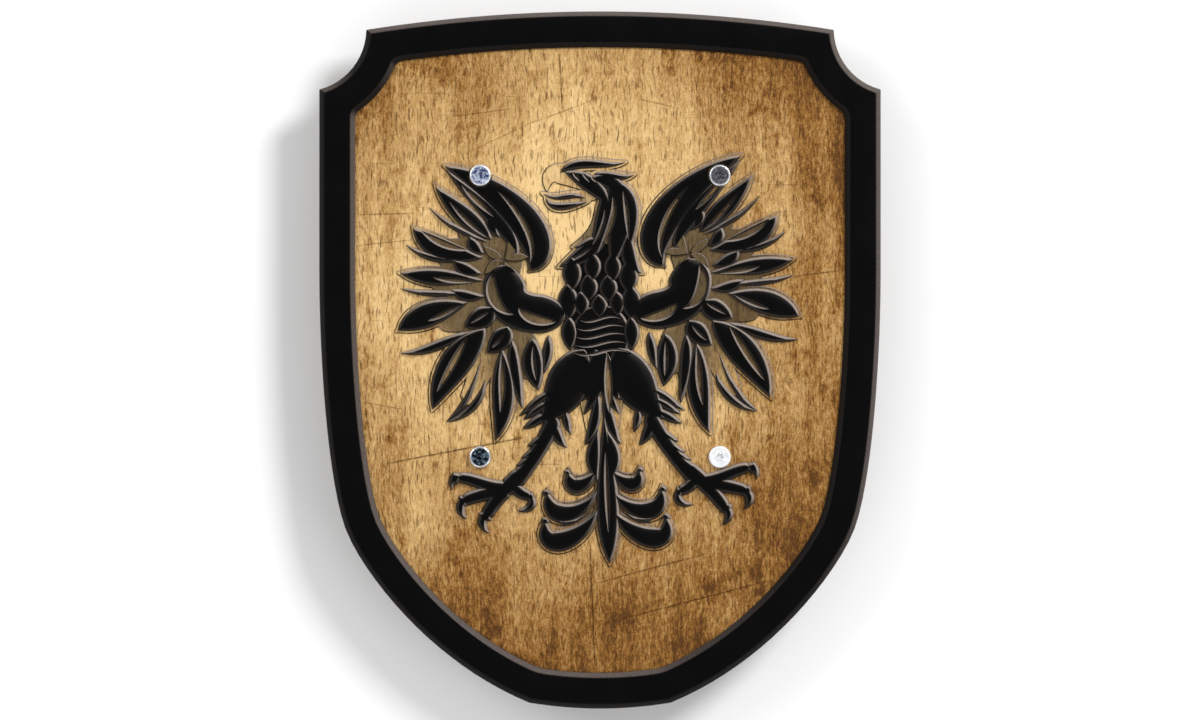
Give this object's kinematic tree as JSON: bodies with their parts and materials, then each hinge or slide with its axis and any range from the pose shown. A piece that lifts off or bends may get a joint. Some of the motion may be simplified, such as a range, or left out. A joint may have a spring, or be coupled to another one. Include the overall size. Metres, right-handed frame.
{
  "type": "heater shield",
  "caption": "Toy knight's heater shield: pale wooden board in a black frame with hollowed upper corners, a black displayed eagle in relief, bolts and two leather straps behind.",
  "frame": {"origin": "centre of the shield's outline, on the surface that it lies on", "axes": "+Y from the blunt foot to the arched top, +X to the right as one looks at the face, +Z out of the face, upwards as it lies on its straps"},
  "size_m": [0.306, 0.38, 0.039],
  "materials": {
    "black_lacquer": "satin black lacquer on wood",
    "board_wood": "pale beech with brown stains, small pores, scratches and fine cracks",
    "emblem_black": "black lacquer on the raised parts, bare wood between them",
    "bright_steel": "bright plated screw heads",
    "zinc_steel": "zinc-plated",
    "strap_leather": "brown leather, waxed, with stitched edges"
  },
  "bodies": {
    "root": {"rim": "black_lacquer", "panel": "board_wood", "eagle": "emblem_black", "bolt_upper_left": "bright_steel", "washer_upper_left": "zinc_steel", "nut_upper_left": "zinc_steel", "bolt_upper_right": "bright_steel", "washer_upper_right": "zinc_steel", "nut_upper_right": "zinc_steel", "bolt_lower_left": "bright_steel", "washer_lower_left": "zinc_steel", "nut_lower_left": "zinc_steel", "bolt_lower_right": "bright_steel", "washer_lower_right": "zinc_steel", "nut_lower_right": "zinc_steel", "arm_strap": "strap_leather", "hand_strap": "strap_leather"}
  },
  "joints": []
}
